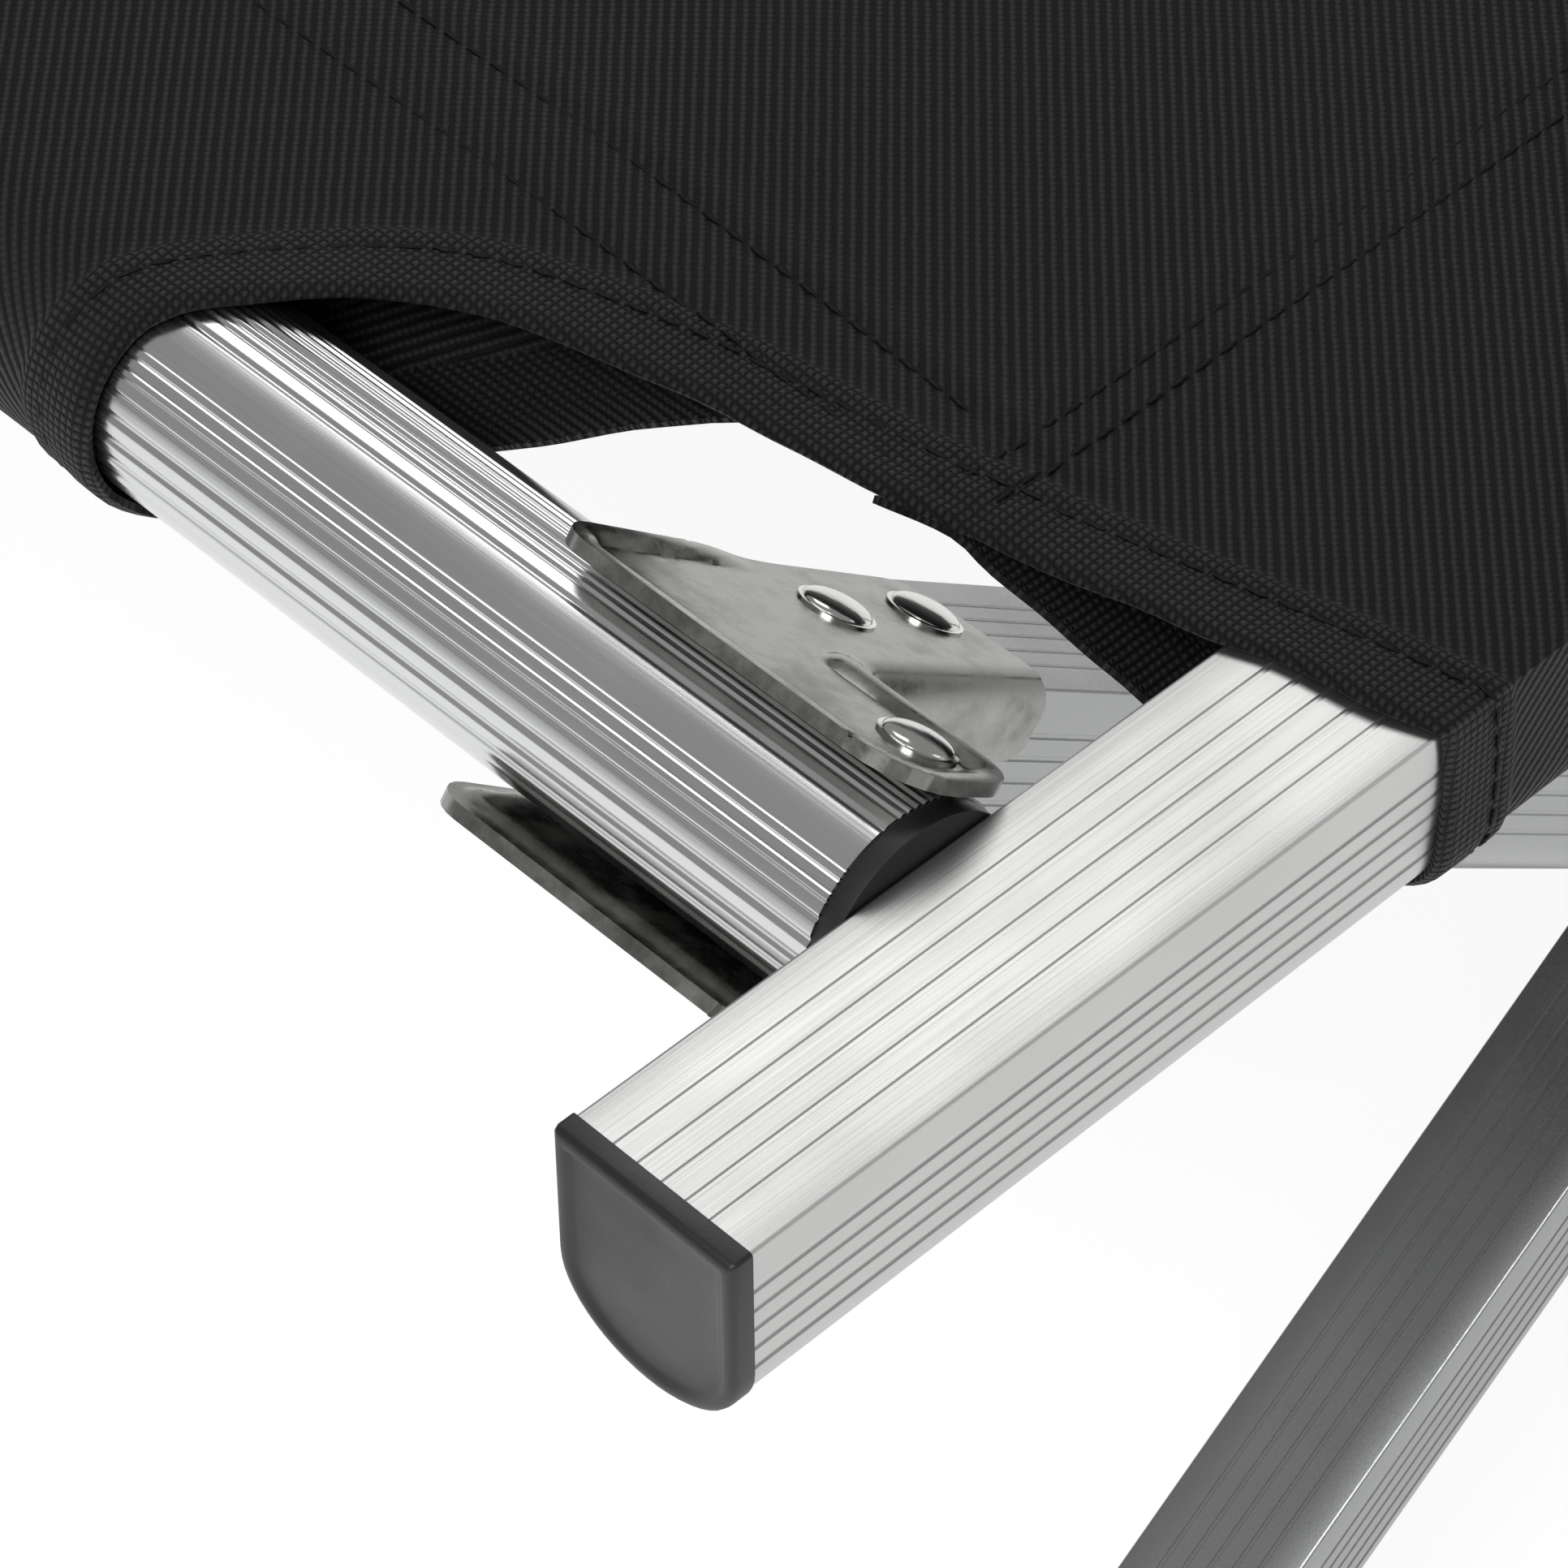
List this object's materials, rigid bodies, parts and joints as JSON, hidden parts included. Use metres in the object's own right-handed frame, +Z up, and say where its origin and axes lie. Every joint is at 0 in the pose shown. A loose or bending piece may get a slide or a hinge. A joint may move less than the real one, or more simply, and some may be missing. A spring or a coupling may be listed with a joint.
{
  "type": "folding stretcher",
  "caption": "Folding camp stretcher: black woven deck on sleeved aluminium side rails, carried by crossed legs with riveted steel gussets and D-section end bars.",
  "frame": {"origin": "on the floor under the middle of the stretcher", "axes": "+Z up, Y along the stretcher, X across it"},
  "size_m": [0.65, 1.9032, 0.4256],
  "materials": {
    "mill_aluminium": "extruded aluminium, fine grooves, satin",
    "zinc_plated_steel": "pressed sheet steel, bright zinc plate",
    "rivet_steel": "bright steel rivet heads",
    "black_plastic": "moulded, fine grain",
    "foot_rubber": "moulded, matt",
    "woven_cloth": "coarse polyester twill with sewn hems"
  },
  "bodies": {
    "middle": {"cross_rivet_front": "rivet_steel", "cross_rivet_middle": "rivet_steel", "cross_rivet_rear": "rivet_steel", "cross_washer_front": "black_plastic", "cross_washer_middle": "black_plastic", "cross_washer_rear": "black_plastic", "deck_cloth": "woven_cloth", "front_end_sleeve": "woven_cloth", "rear_end_sleeve": "woven_cloth"},
    "left_side": {"left_foot_front": "foot_rubber", "left_foot_middle": "foot_rubber", "left_foot_rear": "foot_rubber", "left_gusset_front_lower": "zinc_plated_steel", "left_gusset_front_upper": "zinc_plated_steel", "left_gusset_middle_lower": "zinc_plated_steel", "left_gusset_middle_upper": "zinc_plated_steel", "left_gusset_rear_lower": "zinc_plated_steel", "left_gusset_rear_upper": "zinc_plated_steel", "left_gusset_rivets_front": "rivet_steel", "left_gusset_rivets_middle": "rivet_steel", "left_gusset_rivets_rear": "rivet_steel", "left_leg_front": "mill_aluminium", "left_leg_middle": "mill_aluminium", "left_leg_rear": "mill_aluminium", "left_rail_front": "mill_aluminium", "left_rail_plug_front": "black_plastic", "left_rail_plug_rear": "black_plastic", "left_rail_rear": "mill_aluminium", "left_side_sleeve_front": "woven_cloth", "left_side_sleeve_rear": "woven_cloth"},
    "right_side": {"right_foot_front": "foot_rubber", "right_foot_middle": "foot_rubber", "right_foot_rear": "foot_rubber", "right_gusset_front_lower": "zinc_plated_steel", "right_gusset_front_upper": "zinc_plated_steel", "right_gusset_middle_lower": "zinc_plated_steel", "right_gusset_middle_upper": "zinc_plated_steel", "right_gusset_rear_lower": "zinc_plated_steel", "right_gusset_rear_upper": "zinc_plated_steel", "right_gusset_rivets_front": "rivet_steel", "right_gusset_rivets_middle": "rivet_steel", "right_gusset_rivets_rear": "rivet_steel", "right_leg_front": "mill_aluminium", "right_leg_middle": "mill_aluminium", "right_leg_rear": "mill_aluminium", "right_rail_front": "mill_aluminium", "right_rail_plug_front": "black_plastic", "right_rail_plug_rear": "black_plastic", "right_rail_rear": "mill_aluminium", "right_side_sleeve_front": "woven_cloth", "right_side_sleeve_rear": "woven_cloth"},
    "front_end": {"front_bar": "mill_aluminium", "front_bar_cap_left": "black_plastic", "front_bar_cap_right": "black_plastic"},
    "rear_end": {"rear_bar": "mill_aluminium", "rear_bar_cap_left": "black_plastic", "rear_bar_cap_right": "black_plastic"}
  },
  "joints": [
    {"name": "left_side_fold", "type": "hinge", "parent": "middle", "child": "left_side", "pos_m": [0, 0, 0.1979], "axis": [0, 1, 0], "range_deg": [0, 48.6], "deforming": ["deck_cloth", "front_end_sleeve", "rear_end_sleeve"]},
    {"name": "right_side_fold", "type": "hinge", "parent": "middle", "child": "right_side", "pos_m": [0, 0, 0.1979], "axis": [0, -1, 0], "range_deg": [0, 48.6]},
    {"name": "front_bar_pull", "type": "slide", "parent": "middle", "child": "front_end", "axis": [0, -1, 0], "range_m": [0, 0.1]},
    {"name": "rear_bar_pull", "type": "slide", "parent": "middle", "child": "rear_end", "axis": [0, 1, 0], "range_m": [0, 0.1]}
  ],
  "couplings": [
    {"joint": "right_side_fold", "follows": "left_side_fold", "ratio": 1},
    {"joint": "front_bar_pull", "follows": "left_side_fold", "m_per_rad": 0.11777},
    {"joint": "rear_bar_pull", "follows": "left_side_fold", "m_per_rad": 0.11777}
  ]
}
